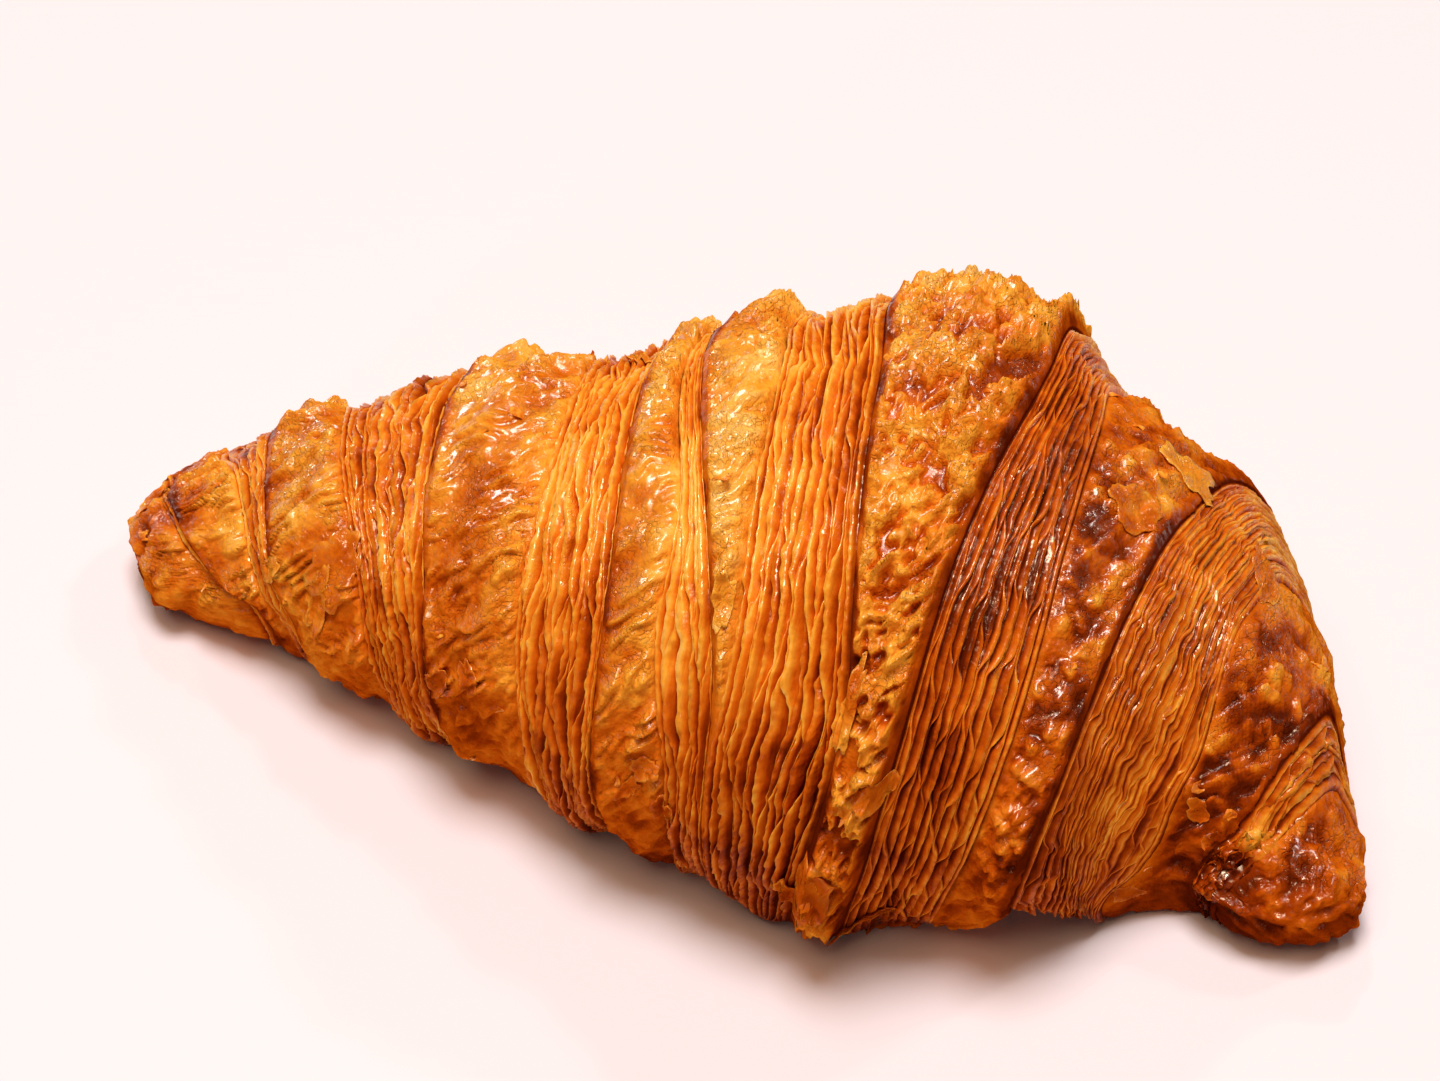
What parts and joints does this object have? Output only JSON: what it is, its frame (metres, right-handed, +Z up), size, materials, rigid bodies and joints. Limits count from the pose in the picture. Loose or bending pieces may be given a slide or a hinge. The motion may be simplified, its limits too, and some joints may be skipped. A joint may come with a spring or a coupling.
{
  "type": "croissant",
  "caption": "Baked butter croissant rolled from layered dough, with stepped flaky wraps, a long tapering end and a short hooked end.",
  "frame": {"origin": "under the middle of the croissant, on the surface it lies on", "axes": "+X along the croissant towards its short hooked end, +Y away from the side the hook turns to, +Z up"},
  "size_m": [0.1682, 0.0846, 0.0652],
  "materials": {
    "crust": "browned and egg-washed, satin"
  },
  "bodies": {
    "root": {"croissant": "crust"}
  },
  "joints": []
}
